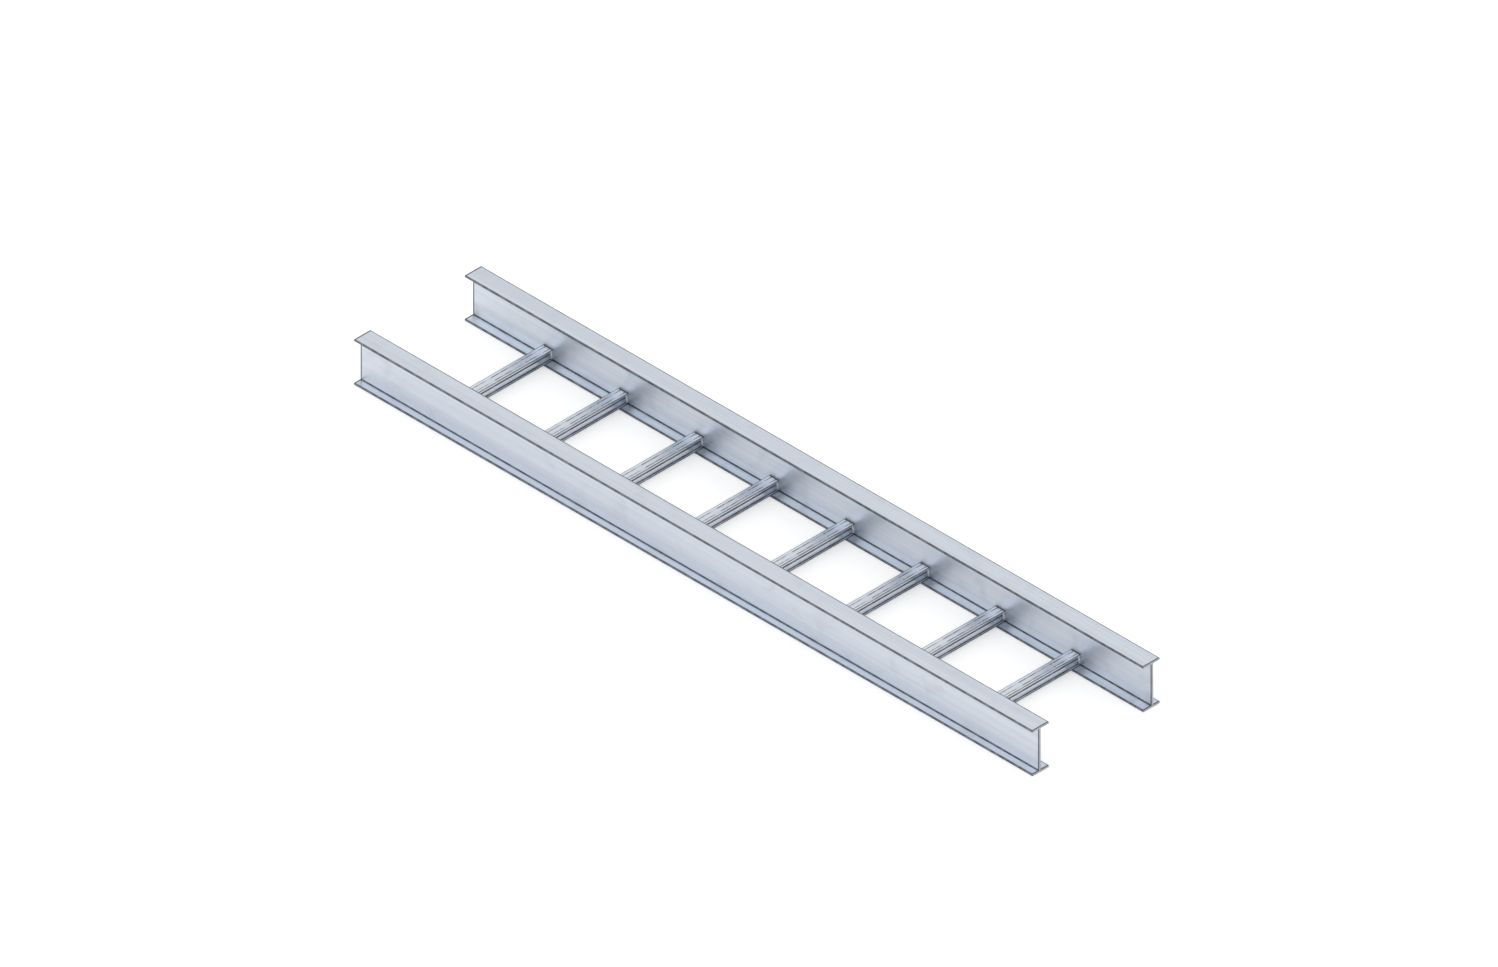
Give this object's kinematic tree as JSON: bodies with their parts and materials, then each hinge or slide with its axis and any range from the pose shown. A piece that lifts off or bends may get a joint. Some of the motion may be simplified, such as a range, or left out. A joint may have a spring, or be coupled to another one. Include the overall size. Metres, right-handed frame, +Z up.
{
  "type": "cable ladder section",
  "caption": "Straight ladder section for cable runs: I-section side rails joined by welded hollow rungs, open above and below.",
  "frame": {"origin": "on the surface the ladder rests on, under the middle of the section", "axes": "+X along the ladder, +Y across it from the right rail to the left rail, +Z up"},
  "size_m": [1.8288, 0.343, 0.1056],
  "materials": {
    "rail": "mill finish with fine die lines along the rail and sawn ends",
    "rung": "mill finish with fine die lines along the rung"
  },
  "bodies": {
    "root": {"side_rail_left": "rail", "side_rail_right": "rail", "rung_1": "rung", "rung_2": "rung", "rung_3": "rung", "rung_4": "rung", "rung_5": "rung", "rung_6": "rung", "rung_7": "rung", "rung_8": "rung"}
  },
  "joints": []
}
